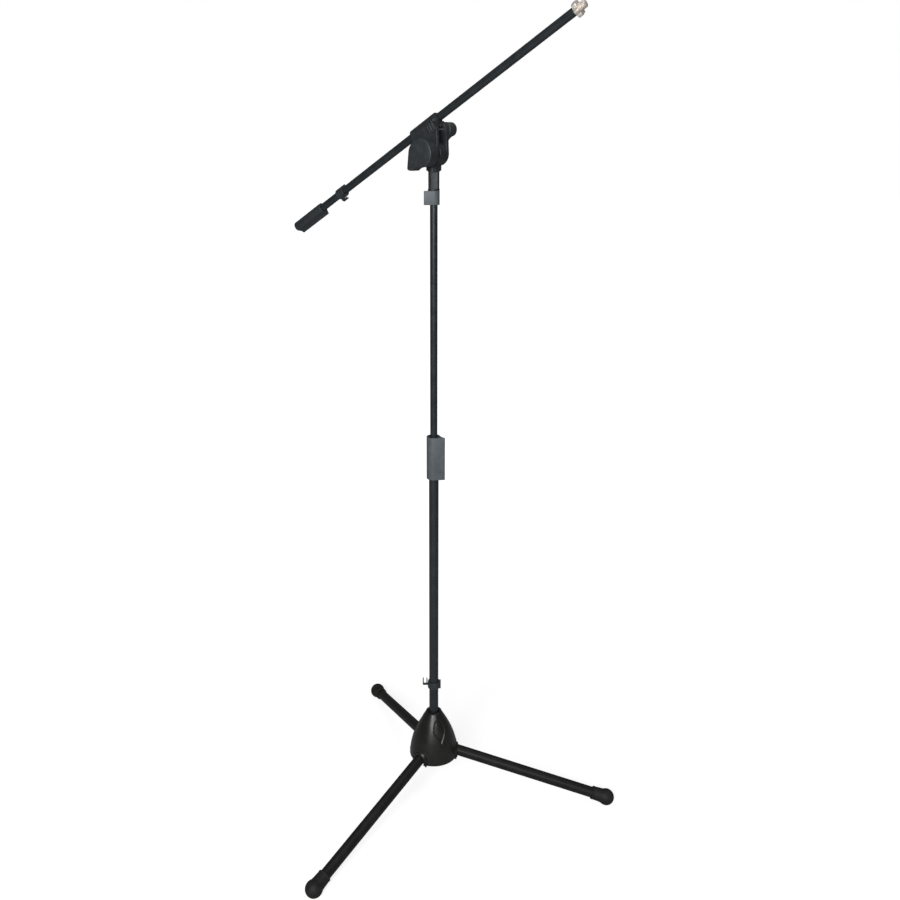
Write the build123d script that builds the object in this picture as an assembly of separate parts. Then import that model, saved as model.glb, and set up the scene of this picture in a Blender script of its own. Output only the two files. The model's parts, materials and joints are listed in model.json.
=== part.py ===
from build123d import *
import os
from math import atan2, cos, degrees, hypot, radians, sin

# Boom microphone stand. Millimetres, +Z up, origin on the column axis at floor level.
# The boom lies in the XZ plane with its tip towards +X.

# ---- driving dimensions: tubes ----
MAST_R = 8.5
MAST_WALL = 1.3
COLUMN_R = 11.75
COLUMN_WALL = 1.2
BOOM_R = 8.75
BOOM_WALL = 1.2
LEG_R = 13.75
LEG_WALL = 1.5
THREAD_R = 7.94
RUN = 0.05
GAP = 0.3

# ---- tripod ----
FOOT_CIRCLE_R = 458.0
FOOT_BALL_R = 21.0
FOOT_BALL_Z = 18.5
BOOT_REACH = 39.0
HINGE_R = 38.0
HINGE_Z = 134.0
LEG_AZIMUTHS = {"front": -90.0, "right": 30.0, "rear": 150.0}
LEG_RUN = hypot(FOOT_CIRCLE_R - HINGE_R, HINGE_Z - FOOT_BALL_Z)
LEG_DIP = degrees(atan2(HINGE_Z - FOOT_BALL_Z, FOOT_CIRCLE_R - HINGE_R))
LEG_FOLD = 90.0 - LEG_DIP
PIN_R = 3.0
TANG_HALF = 6.0
EAR_WALL = 5.0
EAR_R = 9.5

# ---- fold lever and the spool on the column's foot ----
LEVER_REACH = 21.0
LEVER_NOSE_R = 4.0
LEVER_WEB = 5.0
LEVER_DIP = LEG_FOLD / 2
SPOOL_R = 21.5
SPOOL_GROOVE_HALF = LEVER_NOSE_R + 0.45
SPOOL_FLANGE = 4.0
COLLAR_R = COLUMN_R + 2.8
BUSH_R = COLUMN_R + 2.2
SLEEVE_R = BUSH_R + 2.6
SLEEVE_TOP_Z = 232.0
NOSE_Z = HINGE_Z - LEVER_REACH * sin(radians(LEVER_DIP))
COLLAR_Z = NOSE_Z + SPOOL_GROOVE_HALF
COLUMN_FOOT_Z = NOSE_Z - SPOOL_GROOVE_HALF

# ---- base shell ----
SHELL_RIM_Z = 117.0
SHELL_CREST_Z = 247.0
SHELL_WALL = 3.0
SHELL_OUTLINE = [(63.6, 117.0), (59.4, 150.0), (51.5, 180.0), (40.5, 205.0), (28.8, 225.0), (19.5, 241.0)]
ARCH_R = 15.2
HOOD_WALL = 3.6
HOOD_PROUD = 4.0
DECK_Z = 160.0
DECK_R = 47.0
DECK_THICK = 6.0
SCREW_CIRCLE_R = 38.0
SCREW_R = 2.0

# ---- clutch ----
GRIP_FOOT_Z = 894.5
GRIP_TOP_Z = 1001.0
GRIP_R = 17.3
GRIP_REACH = 24.5
GRIP_AZIMUTH = 46.0
CORE_R = 14.2
COLUMN_TOP_Z = 985.0
CORE_TOP_Z = 996.0

# ---- mast ----
MAST_FOOT_Z = 835.0
MAST_TOP_Z = 1539.0
NUT_TOP_Z = 1569.7
NUT_R = 13.0
NUT_REACH = 22.0
NUT_AZIMUTH = 37.0
STUD_TOP_Z = 1588.0

# ---- head ----
PIVOT_Z = 1648.0
POST_R = 13.25
POST_FOOT_Z = 1570.0
POST_NECK_Z = 1619.0
TONGUE_R = 27.0
TONGUE_HALF = 11.5
EAR_DISC_R = 26.0
EAR_OUT = 21.0
DISC_THICK = 1.0
TILT_BOLT_R = 4.0
TILT_KNOB_R = 31.0
TILT_KNOB_REACH = 38.0
TILT_KNOB_TIP = 13.0
TILT_KNOB_LEAN = 6.0
TILT_KNOB_Y = (22.5, 51.5)
BARREL_R = 13.5
BARREL_LOW = -29.0
BARREL_HIGH = 46.0
LINER_R = BOOM_R + 2.0
CLAMP_SPLIT = 0.75
CLAMP_SCREW_S = 36.0
CLAMP_SCREW_N = -21.0
CLAMP_SCREW_R = 3.0
CLAMP_SCREW_FOOT_Y = -18.0
CLAMP_KNOB_R = 15.5
CLAMP_KNOB_REACH = 24.0
CLAMP_KNOB_Y = (22.5, 47.0)

# ---- boom ----
BOOM_ELEVATION = 30.0
BOOM_OFFSET = 58.0
BOOM_LOW = -452.0
BOOM_TIP = 419.0
BOOM_GRIP_LOW = -460.0
BOOM_GRIP_HIGH = -358.0
BOOM_GRIP_R = 12.3
BOOM_GRIP_REACH = 17.0
BOOM_CLIP_S = -283.0
BOOM_STUD_END = 444.0
STAR_NUT_END = BOOM_TIP + 11.0

# ---- cable clips ----
CLIP_WALL = 3.8
COLUMN_CLIP_HEIGHT = 18.0
BOOM_CLIP_HEIGHT = 22.0
HOOK_WIDTH = 6.5
HOOK_GAP = 7.0
HOOK_OUT = 1.0
HOOK_WALL = 2.6
HOOK_RISE = 8.0
COLUMN_CLIP_Z = 322.5
COLUMN_CLIP_AZIMUTH = 37.0
BOOM_CLIP_TURN = 155.0


def ring(outer, inner, z0, z1):
    """Hollow cylinder about Z."""
    body = Cylinder(outer, z1 - z0, align=(Align.CENTER, Align.CENTER, Align.MIN))
    bore = Cylinder(inner, z1 - z0, align=(Align.CENTER, Align.CENTER, Align.MIN))
    return Pos(0, 0, z0) * (body - bore)


def rod(radius, z0, z1):
    """Solid cylinder about Z."""
    return Pos(0, 0, z0) * Cylinder(radius, z1 - z0, align=(Align.CENTER, Align.CENTER, Align.MIN))


def cross_rod(radius, y0, y1):
    """Solid cylinder about Y."""
    return Rot(90, 0, 0) * rod(radius, -y1, -y0)


def comma(radius, reach, tip):
    """Face in XY: a circle whose -Y tangent runs on along +X and curls back as a short wing."""
    lean = radians(35.0)
    root = Vector(radius * cos(lean), radius * sin(lean))
    end = Vector(reach, tip - radius)
    middle = (root + end) * 0.5
    hollow = middle - middle.normalized() * (root - end).length * 0.16
    back = ThreePointArc((root.X, root.Y), (-radius, 0), (0, -radius))
    side = Line((0, -radius), (reach, -radius))
    edge = Line((reach, -radius), (end.X, end.Y))
    curl = ThreePointArc((end.X, end.Y), (hollow.X, hollow.Y), (root.X, root.Y))
    return make_face([back, side, edge, curl])


def comma_prism(radius, reach, tip, z0, z1, round_r):
    """Comma-shaped bar about Z with eased ends."""
    bar = Pos(0, 0, z0) * extrude(comma(radius, reach, tip), z1 - z0)
    ends = bar.edges().group_by(Axis.Z)
    return chamfer(ends[0] + ends[-1], round_r)


def on_leg(part, azimuth):
    """Places a part drawn along +X from its hinge onto the leg at that azimuth."""
    return Rot(0, 0, azimuth) * Pos(HINGE_R, 0, HINGE_Z) * Rot(0, LEG_DIP, 0) * part


def on_boom(part):
    """Places a part drawn along +Z, with +X towards the pivot, onto the boom axis."""
    pose = Pos(0, 0, PIVOT_Z) * Rot(0, 90 - BOOM_ELEVATION, 0) * Pos(-BOOM_OFFSET, 0, 0)
    return pose * part


def in_head(part):
    """Places a part drawn with the pivot at its origin and the boom level onto the tilted head."""
    return Pos(0, 0, PIVOT_Z) * Rot(0, -BOOM_ELEVATION, 0) * part


# ---------------- base ----------------
def shell_solid(inset):
    """Solid of the shell's outline, drawn in by inset."""
    points = [(r - inset, z) for r, z in SHELL_OUTLINE]
    flank = Spline(*points)
    crest_r = COLUMN_R + 5.0
    crest = ThreePointArc(points[-1], (crest_r, SHELL_CREST_Z - inset), (COLUMN_R, SHELL_CREST_Z - 2.5 - inset))
    close = Polyline((COLUMN_R, SHELL_CREST_Z - 2.5 - inset), (0, SHELL_CREST_Z - 2.5 - inset), (0, SHELL_RIM_Z), points[0])
    face = Plane.XZ * make_face([flank, crest, close])
    return revolve(face, Axis.Z, 360)


def arch(radius, azimuth):
    """Room round a leg and under it: a round tunnel along the leg, open below."""
    tunnel = Rot(0, 90, 0) * rod(radius, 2.0, 60.0)
    below = Pos(31.0, 0, -30.0) * Box(58.0, 2 * radius, 60.0)
    return on_leg(tunnel + below, azimuth)


def shield(azimuth):
    """Shield-shaped prism that points out between two legs."""
    top = ThreePointArc((-11.0, 36.0), (0, 41.0), (11.0, 36.0))
    sides = Polyline((11.0, 36.0), (11.5, 8.0), (0, -4.0), (-11.5, 8.0), (-11.0, 36.0))
    face = make_face([top, sides])
    prism = extrude(Plane.YZ * face, 80.0)
    return Rot(0, 0, azimuth) * Pos(0, 0, 168.0) * prism


def base_shell():
    outer = shell_solid(0)
    body = outer - shell_solid(SHELL_WALL)
    for azimuth in LEG_AZIMUTHS.values():
        hood = (arch(ARCH_R + HOOD_WALL, azimuth) & shell_solid(-HOOD_PROUD)) - shell_solid(SHELL_WALL)
        body = body + hood
    for azimuth in LEG_AZIMUTHS.values():
        body = body - arch(ARCH_R, azimuth)
        body = body - (shield(azimuth + 60.0) - shell_solid(1.0))
        boss = Rot(0, 0, azimuth + 60.0) * Pos(SCREW_CIRCLE_R, 0, 0) * rod(5.0, DECK_Z + DECK_THICK, 195.0)
        body = body + (boss & outer)
    for azimuth in LEG_AZIMUTHS.values():
        hole = Rot(0, 0, azimuth + 60.0) * Pos(SCREW_CIRCLE_R, 0, 0) * rod(SCREW_R, DECK_Z, 180.0)
        body = body - hole
    return body - rod(COLUMN_R + 0.8, SHELL_RIM_Z, SHELL_CREST_Z + 1)


def base_hub():
    sleeve = ring(SLEEVE_R, BUSH_R, DECK_Z, SLEEVE_TOP_Z) - rod(COLLAR_R + 0.6, DECK_Z, DECK_Z + 8.0)
    deck = ring(DECK_R, COLLAR_R + 0.6, DECK_Z, DECK_Z + DECK_THICK)
    body = sleeve + deck
    for azimuth in LEG_AZIMUTHS.values():
        for side in (-1, 1):
            y = side * (TANG_HALF + 0.4 + EAR_WALL / 2)
            disc = Pos(HINGE_R, y, HINGE_Z) * Rot(90, 0, 0) * Cylinder(EAR_R, EAR_WALL)
            cheek_h = DECK_Z - HINGE_Z + 1.0
            cheek = Pos(HINGE_R, y, HINGE_Z + cheek_h / 2) * Box(2 * EAR_R, EAR_WALL, cheek_h)
            body = body + Rot(0, 0, azimuth) * (disc + cheek)
        pin_hole = Pos(HINGE_R, 0, HINGE_Z) * cross_rod(PIN_R, -20.0, 20.0)
        body = body - Rot(0, 0, azimuth) * pin_hole
        screw = Rot(0, 0, azimuth + 60.0) * Pos(SCREW_CIRCLE_R, 0, 0) * rod(SCREW_R, DECK_Z - 1, DECK_Z + DECK_THICK + 1)
        body = body - screw
    return body


def guide_bush():
    return ring(BUSH_R, COLUMN_R + RUN, DECK_Z + 8.5, SLEEVE_TOP_Z)


def leg_pins():
    half = TANG_HALF + 0.4 + EAR_WALL
    pins = []
    for azimuth in LEG_AZIMUTHS.values():
        pin = cross_rod(PIN_R, -half - 1.0, half + 1.0)
        pin = pin + cross_rod(PIN_R + 1.6, half, half + 1.5)
        pins.append(Rot(0, 0, azimuth) * Pos(HINGE_R, 0, HINGE_Z) * pin)
    return Compound(children=pins)


def shell_screws():
    screws = []
    for azimuth in LEG_AZIMUTHS.values():
        screw = rod(SCREW_R, DECK_Z, 178.0) + rod(4.0, DECK_Z - 2.6, DECK_Z)
        screws.append(Rot(0, 0, azimuth + 60.0) * Pos(SCREW_CIRCLE_R, 0, 0) * screw)
    return Compound(children=screws)


# ---------------- legs ----------------
def leg_tube(azimuth):
    tube = Rot(0, 90, 0) * ring(LEG_R, LEG_R - LEG_WALL, 13.5, LEG_RUN - 12.0)
    rivet = Pos(24.0, 0, 0) * cross_rod(2.2, -LEG_R, LEG_R)
    return on_leg(tube - rivet, azimuth)


def leg_knuckle(azimuth):
    """Casting in the leg's root: plug, hinge tang and the short lever that works the spool."""
    plug = Rot(0, 90, 0) * rod(LEG_R - LEG_WALL, 13.5, 44.0)
    collar = Rot(0, 90, 0) * rod(LEG_R, 11.0, 13.5)
    tang = Pos(7.0, 0, 0) * Box(14.0, 2 * TANG_HALF, 2 * EAR_R - 1.0)
    eye = cross_rod(EAR_R - 0.5, -TANG_HALF, TANG_HALF)
    web_length = LEVER_REACH
    web = Pos(web_length / 2, 0, 0) * Box(web_length, 2 * TANG_HALF - 2.0, LEVER_WEB)
    nose = Pos(LEVER_REACH, 0, 0) * cross_rod(LEVER_NOSE_R, -TANG_HALF + 1.0, TANG_HALF - 1.0)
    lever = Rot(0, 180.0 - LEVER_DIP - LEG_DIP, 0) * (web + nose)
    body = plug + collar + tang + eye + lever
    body = body - cross_rod(PIN_R + RUN, -20.0, 20.0)
    body = body - Pos(24.0, 0, 0) * cross_rod(2.2, -LEG_R, LEG_R)
    return on_leg(body, azimuth)


def leg_rivet(azimuth):
    rivet = Pos(24.0, 0, 0) * cross_rod(2.2, -LEG_R, LEG_R)
    return on_leg(rivet, azimuth)


def leg_foot(azimuth):
    """Rubber boot: a sleeve over the tube, a waist and a ball cut flat where it meets the floor."""
    mouth = LEG_RUN - BOOT_REACH
    ball = Pos(LEG_RUN, 0, 0) * Sphere(FOOT_BALL_R)
    outline = [
        Line((mouth, 0), (mouth, LEG_R + 1.2)),
        ThreePointArc((mouth, LEG_R + 1.2), (mouth + 1.5, LEG_R + 2.6), (mouth + 4.0, LEG_R + 3.0)),
        Line((mouth + 4.0, LEG_R + 3.0), (LEG_RUN, LEG_R + 4.2)),
        Line((LEG_RUN, LEG_R + 4.2), (LEG_RUN, 0)),
        Line((LEG_RUN, 0), (mouth, 0)),
    ]
    sleeve = revolve(make_face(outline), Axis.X, 360)
    body = sleeve + ball - Rot(0, 90, 0) * rod(LEG_R, LEG_RUN - 60.0, LEG_RUN - 12.0)
    floor = Pos(0, 0, -50.0) * Box(1200.0, 1200.0, 100.0)
    return on_leg(body, azimuth) - floor


# ---------------- column ----------------
def lower_tube():
    return ring(COLUMN_R, COLUMN_R - COLUMN_WALL, COLUMN_FOOT_Z, COLUMN_TOP_Z)


def fold_collar():
    flange = ring(SPOOL_R, COLUMN_R, COLLAR_Z, COLLAR_Z + SPOOL_FLANGE)
    return flange + ring(COLLAR_R, COLUMN_R, COLLAR_Z, COLLAR_Z + 12.0)


def column_end_plug():
    plug = rod(COLUMN_R - COLUMN_WALL, COLUMN_FOOT_Z, COLUMN_FOOT_Z + 24.0)
    return plug + rod(SPOOL_R, COLUMN_FOOT_Z - SPOOL_FLANGE, COLUMN_FOOT_Z)


def cable_clip(tube_r, height):
    """Snap ring about Z with a hook open to +Z on its -X side and a latch bar on its +X side."""
    half = height / 2
    outer = tube_r + CLIP_WALL
    band = ring(outer, tube_r, -half, half)
    latch = Pos(outer, 0, 0) * Box(5.0, 7.0, height + 5.0) - rod(tube_r + 0.5, -height, height)
    foot_z = half - 7.5
    inner_x = outer + HOOK_OUT
    gap_x = inner_x + HOOK_WALL
    outer_x = gap_x + HOOK_GAP
    top = half + HOOK_RISE
    reach = outer_x + HOOK_WALL - outer + 1.0
    foot = Pos(-outer + 1.0 - reach / 2, 0, foot_z - 1.5) * Box(reach, HOOK_WIDTH, 3.0)
    rise = top - foot_z
    near = Pos(-inner_x - HOOK_WALL / 2, 0, foot_z + rise / 2 - 1.0) * Box(HOOK_WALL, HOOK_WIDTH, rise)
    far = Pos(-outer_x - HOOK_WALL / 2, 0, foot_z + rise / 2 - 1.0) * Box(HOOK_WALL, HOOK_WIDTH, rise)
    body = band + latch + (foot - rod(tube_r, -height, height)) + near + far
    return body - Pos(outer, 0, 0) * Box(14.0, 1.6, 3 * height)


def column_cable_clip():
    return Pos(0, 0, COLUMN_CLIP_Z) * Rot(0, 0, COLUMN_CLIP_AZIMUTH) * cable_clip(COLUMN_R, COLUMN_CLIP_HEIGHT)


def boom_cable_clip():
    return on_boom(Pos(0, 0, BOOM_CLIP_S) * Rot(0, 0, BOOM_CLIP_TURN) * cable_clip(BOOM_R, BOOM_CLIP_HEIGHT))


def clutch_core():
    """Sleeve on the column's top that carries the grip and holds the collet's lip."""
    return ring(CORE_R, COLUMN_R, 900.5, COLUMN_TOP_Z + 3.0) + ring(CORE_R, MAST_R + 0.6, COLUMN_TOP_Z + 3.0, CORE_TOP_Z)


def clutch_collet():
    """Slit collet inside the column's top that closes on the mast."""
    body = ring(COLUMN_R - COLUMN_WALL, MAST_R + RUN, 930.0, COLUMN_TOP_Z)
    body = body + ring(COLUMN_R, MAST_R + RUN, COLUMN_TOP_Z, COLUMN_TOP_Z + 3.0)
    return body - Pos(10.0, 0, COLUMN_TOP_Z - 20.0) * Box(20.0, 2.0, 60.0)


def clutch_grip():
    shape = comma_prism(GRIP_R, GRIP_REACH, 2.4, GRIP_FOOT_Z, GRIP_TOP_Z, 1.0)
    shape = shape - rod(COLUMN_R + 0.4, GRIP_FOOT_Z, 900.2) - rod(CORE_R + RUN, 900.2, GRIP_TOP_Z)
    shape = shape - rod(CORE_R + 1.6, 925.0, 970.0)
    return Rot(0, 0, GRIP_AZIMUTH) * shape


def clutch_cam():
    return Rot(0, 0, GRIP_AZIMUTH) * ring(CORE_R + 1.6, CORE_R + RUN, 925.0, 970.0)


def clutch_cap():
    return ring(CORE_R + RUN, MAST_R + 0.9, CORE_TOP_Z + GAP, GRIP_TOP_Z - 0.8)


# ---------------- mast ----------------
def upper_tube():
    return ring(MAST_R, MAST_R - MAST_WALL, MAST_FOOT_Z, MAST_TOP_Z)


def mast_bush():
    sleeve = ring(COLUMN_R - COLUMN_WALL - RUN, MAST_R, MAST_FOOT_Z, MAST_FOOT_Z + 22.0)
    return sleeve + ring(COLUMN_R - COLUMN_WALL - RUN, MAST_R - 3.0, MAST_FOOT_Z - 6.0, MAST_FOOT_Z)


def mast_stud():
    plug = rod(MAST_R - MAST_WALL, MAST_TOP_Z - 34.0, MAST_TOP_Z)
    return plug + rod(THREAD_R, MAST_TOP_Z, STUD_TOP_Z)


def lock_nut():
    """Wing nut with a comma outline, its wing on the left of its flat side."""
    shape = mirror(comma_prism(NUT_R, NUT_REACH, 2.2, MAST_TOP_Z + GAP, NUT_TOP_Z, 0.9), Plane.YZ)
    shape = shape - rod(THREAD_R + 2.2, MAST_TOP_Z, NUT_TOP_Z + 1)
    return Rot(0, 0, NUT_AZIMUTH) * shape


def lock_nut_insert():
    return ring(THREAD_R + 2.2, THREAD_R + RUN, MAST_TOP_Z + 2.0, NUT_TOP_Z - 0.5)


# ---------------- head ----------------
def swivel_post():
    """Fluted post that screws onto the mast's stud and ends in the tilt tongue."""
    post = rod(POST_R, POST_FOOT_Z, POST_NECK_Z)
    for corner in (45, 135, 225, 315):
        flute = Rot(0, 0, corner) * Pos(POST_R + 1.0, 0, 0) * rod(3.6, POST_FOOT_Z + 3.0, POST_NECK_Z - 6.0)
        post = post - flute
    neck = Pos(0, 0, POST_NECK_Z - 2) * Box(2 * POST_R - 2, 2 * TONGUE_HALF, 24.0, align=(Align.CENTER, Align.CENTER, Align.MIN))
    disc = Pos(0, 0, PIVOT_Z) * cross_rod(TONGUE_R, -TONGUE_HALF, TONGUE_HALF)
    body = post + (neck & rod(POST_R, POST_FOOT_Z, PIVOT_Z)) + disc
    body = body - Pos(0, 0, PIVOT_Z) * cross_rod(TILT_BOLT_R + RUN, -30.0, 30.0)
    return body - rod(THREAD_R + 2.2, POST_FOOT_Z - 1, STUD_TOP_Z + 3.0)


def post_insert():
    return ring(THREAD_R + 2.2, THREAD_R + RUN, POST_FOOT_Z + 0.5, STUD_TOP_Z + 2.0)


def friction_disc(side):
    inner = side * TONGUE_HALF
    outer = side * (TONGUE_HALF + DISC_THICK - RUN)
    disc = cross_rod(TONGUE_R - 3.0, min(inner, outer), max(inner, outer))
    return Pos(0, 0, PIVOT_Z) * (disc - cross_rod(TILT_BOLT_R + 0.3, -30.0, 30.0))


def clamp_half(side):
    """One half of the split clamp: a friction ear, a swept web and half of the boom barrel."""
    inner = TONGUE_HALF + DISC_THICK
    low, high = sorted((side * inner, side * EAR_OUT))
    ear = cross_rod(EAR_DISC_R, low, high)
    boss = Pos(CLAMP_SCREW_S, 0, BOOM_OFFSET + CLAMP_SCREW_N) * cross_rod(9.5, low, high)
    mid = side * (inner + EAR_OUT) / 2
    thick = EAR_OUT - inner
    web_points = [(-25.5, 4.0), (-27.0, 48.0), (BARREL_HIGH - 2.0, 48.0), (48.4, 36.0), (22.0, -13.8)]
    web = Plane.XZ * make_face(Polyline(*web_points, close=True))
    web = Pos(0, side * inner, 0) * extrude(web, -side * thick)
    barrel_length = BARREL_HIGH - BARREL_LOW
    barrel = Pos(BARREL_LOW, 0, BOOM_OFFSET) * Rot(0, 90, 0) * rod(BARREL_R, 0, barrel_length)
    bridge = Pos(BARREL_LOW + 7.0, 0, BOOM_OFFSET - 12.0) * Box(
        barrel_length - 9.0, 2 * EAR_OUT, 14.0, align=(Align.MIN, Align.CENTER, Align.CENTER)
    )
    body = ear + boss + web + barrel + bridge
    if side < 0:
        for i in range(3):
            rib = Box(3.0, 10.8, 24.0)
            body = body + Pos(BARREL_HIGH - 7.0 - 7.0 * i, 4.0 - EAR_OUT, BOOM_OFFSET - 11.0) * rib
    keep = Pos(0, side * (CLAMP_SPLIT + 20.0), 0) * Box(300.0, 40.0, 300.0)
    body = body & keep
    body = body - Pos(-60.0, 0, BOOM_OFFSET) * Rot(0, 90, 0) * rod(LINER_R + RUN, 0, 120.0)
    body = body - cross_rod(TONGUE_R + 1.5, -inner, inner)
    body = body - cross_rod(TILT_BOLT_R, -30.0, 30.0)
    hole = cross_rod(CLAMP_SCREW_R, CLAMP_SCREW_FOOT_Y, 30.0)
    return in_head(body - Pos(CLAMP_SCREW_S, 0, BOOM_OFFSET + CLAMP_SCREW_N) * hole)


def tilt_bolt():
    bolt = cross_rod(TILT_BOLT_R, -TILT_KNOB_Y[1] + 6.0, EAR_OUT)
    head = Pos(0, EAR_OUT, 0) * Rot(-90, 0, 0) * extrude(RegularPolygon(7.4, 6), 5.3)
    return in_head(bolt + head)


def tilt_washer():
    washer = cross_rod(12.0, -TILT_KNOB_Y[0] + RUN, -EAR_OUT) - cross_rod(TILT_BOLT_R, -30.0, 30.0)
    return in_head(washer)


def clamp_screw():
    """Stud set blind in the front half, so that only the knob shows."""
    screw = cross_rod(CLAMP_SCREW_R, CLAMP_SCREW_FOOT_Y, CLAMP_KNOB_Y[1] - 6.0)
    return in_head(Pos(CLAMP_SCREW_S, 0, BOOM_OFFSET + CLAMP_SCREW_N) * screw)


def clamp_washer():
    washer = cross_rod(7.5, EAR_OUT, CLAMP_KNOB_Y[0] - RUN) - cross_rod(CLAMP_SCREW_R, -30.0, 30.0)
    return in_head(Pos(CLAMP_SCREW_S, 0, BOOM_OFFSET + CLAMP_SCREW_N) * washer)


def knob(radius, reach, tip, depth, bore):
    """Comma-shaped knob about Z, its back face at z = 0, with a blind seat for its insert."""
    return comma_prism(radius, reach, tip, 0, depth, radius * 0.05) - rod(bore, -1, depth - 5.0)


def tilt_knob():
    seat = Plane(origin=(0, -TILT_KNOB_Y[0], PIVOT_Z), x_dir=(0, 0, -1), z_dir=(0, -1, 0))
    depth = TILT_KNOB_Y[1] - TILT_KNOB_Y[0]
    shape = knob(TILT_KNOB_R, TILT_KNOB_REACH, TILT_KNOB_TIP, depth, TILT_BOLT_R + 2.5)
    return seat * Rot(0, 0, -TILT_KNOB_LEAN) * shape


def tilt_knob_insert():
    insert = cross_rod(TILT_BOLT_R + 2.5, -TILT_KNOB_Y[1] + 5.0, -TILT_KNOB_Y[0])
    insert = insert - cross_rod(TILT_BOLT_R + RUN, -60.0, 0)
    return Pos(0, 0, PIVOT_Z) * insert


def clamp_knob():
    place = in_head(Pos(CLAMP_SCREW_S, 0, BOOM_OFFSET + CLAMP_SCREW_N)).position
    seat = Plane(origin=(place.X, CLAMP_KNOB_Y[0], place.Z), x_dir=(0, 0, -1), z_dir=(0, 1, 0))
    depth = CLAMP_KNOB_Y[1] - CLAMP_KNOB_Y[0]
    return seat * mirror(knob(CLAMP_KNOB_R, CLAMP_KNOB_REACH, 8.0, depth, CLAMP_SCREW_R + 2.0), Plane.XZ)


def clamp_knob_insert():
    insert = cross_rod(CLAMP_SCREW_R + 2.0, CLAMP_KNOB_Y[0], CLAMP_KNOB_Y[1] - 5.0)
    insert = insert - cross_rod(CLAMP_SCREW_R + RUN, 0, 60.0)
    return in_head(Pos(CLAMP_SCREW_S, 0, BOOM_OFFSET + CLAMP_SCREW_N) * insert)


# ---------------- boom ----------------
def boom_liner():
    return on_boom(ring(LINER_R, BOOM_R + RUN, BARREL_LOW - 1.5, BARREL_HIGH + 3.0))


def boom_tube():
    return on_boom(ring(BOOM_R, BOOM_R - BOOM_WALL, BOOM_LOW, BOOM_TIP))


def boom_grip():
    """Grip on the boom's low end, its wing hanging on the lower side and hollow towards -Y."""
    shape = comma_prism(BOOM_GRIP_R, BOOM_GRIP_REACH, 2.4, BOOM_GRIP_LOW, BOOM_GRIP_HIGH, 1.0)
    shape = mirror(shape, Plane.XZ)
    return on_boom(shape - rod(BOOM_R, BOOM_LOW, BOOM_GRIP_HIGH + 1))


def boom_weight():
    return on_boom(rod(BOOM_R - BOOM_WALL, BOOM_LOW, BOOM_LOW + 130.0))


def boom_end_stud():
    """Plug and stud: a short thread for the star nut, a relief groove and the free thread."""
    plug = rod(BOOM_R - BOOM_WALL, BOOM_TIP - 30.0, BOOM_TIP)
    nut_thread = rod(THREAD_R, BOOM_TIP, STAR_NUT_END + 0.3)
    groove = rod(THREAD_R - 0.9, STAR_NUT_END + 0.3, STAR_NUT_END + 1.3)
    return on_boom(plug + nut_thread + groove + rod(THREAD_R, STAR_NUT_END + 1.3, BOOM_STUD_END))


def star_nut():
    """Flat nut with rounded lobes and scalloped hollows between them, on a seating boss."""
    blank = rod(16.0, BOOM_TIP + 1.5, STAR_NUT_END)
    lobes = 6
    for i in range(lobes):
        hollow = Rot(0, 0, 360.0 / lobes * (i + 0.5)) * Pos(18.0, 0, 0) * rod(6.0, BOOM_TIP, STAR_NUT_END + 1)
        blank = blank - hollow
    blank = blank + rod(11.8, BOOM_TIP + 0.4, BOOM_TIP + 1.5)
    return on_boom(blank - rod(THREAD_R + RUN, BOOM_TIP, STAR_NUT_END + 1))


NODES = {
    "base_shell": base_shell,
    "base_hub": base_hub,
    "guide_bush": guide_bush,
    "leg_pins": leg_pins,
    "shell_screws": shell_screws,
    "lower_tube": lower_tube,
    "fold_collar": fold_collar,
    "column_end_plug": column_end_plug,
    "column_cable_clip": column_cable_clip,
    "clutch_core": clutch_core,
    "clutch_collet": clutch_collet,
    "clutch_grip": clutch_grip,
    "clutch_cam": clutch_cam,
    "clutch_cap": clutch_cap,
    "upper_tube": upper_tube,
    "mast_bush": mast_bush,
    "mast_stud": mast_stud,
    "lock_nut": lock_nut,
    "lock_nut_insert": lock_nut_insert,
    "swivel_post": swivel_post,
    "post_insert": post_insert,
    "friction_disc_front": lambda: friction_disc(-1),
    "friction_disc_back": lambda: friction_disc(1),
    "clamp_half_front": lambda: clamp_half(-1),
    "clamp_half_back": lambda: clamp_half(1),
    "tilt_bolt": tilt_bolt,
    "tilt_washer": tilt_washer,
    "clamp_screw": clamp_screw,
    "clamp_washer": clamp_washer,
    "tilt_knob": tilt_knob,
    "tilt_knob_insert": tilt_knob_insert,
    "clamp_knob": clamp_knob,
    "clamp_knob_insert": clamp_knob_insert,
    "boom_liner": boom_liner,
    "boom_tube": boom_tube,
    "boom_cable_clip": boom_cable_clip,
    "boom_grip": boom_grip,
    "boom_weight": boom_weight,
    "boom_end_stud": boom_end_stud,
    "star_nut": star_nut,
}


def main():
    os.makedirs("parts", exist_ok=True)
    for name, make in NODES.items():
        export_step(make(), f"parts/{name}.step")
    for leg, azimuth in LEG_AZIMUTHS.items():
        export_step(leg_tube(azimuth), f"parts/leg_tube_{leg}.step")
        export_step(leg_knuckle(azimuth), f"parts/leg_knuckle_{leg}.step")
        export_step(leg_rivet(azimuth), f"parts/leg_rivet_{leg}.step")
        export_step(leg_foot(azimuth), f"parts/leg_foot_{leg}.step")
    print("leg dip", LEG_DIP, "fold", LEG_FOLD, "lift", 2 * LEVER_REACH * sin(radians(LEVER_DIP)))


main()
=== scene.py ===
import json
from math import cos, hypot, pi, radians, sin, sqrt

import bpy
from mathutils import Matrix, Vector
from mathutils.geometry import interpolate_bezier


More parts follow.
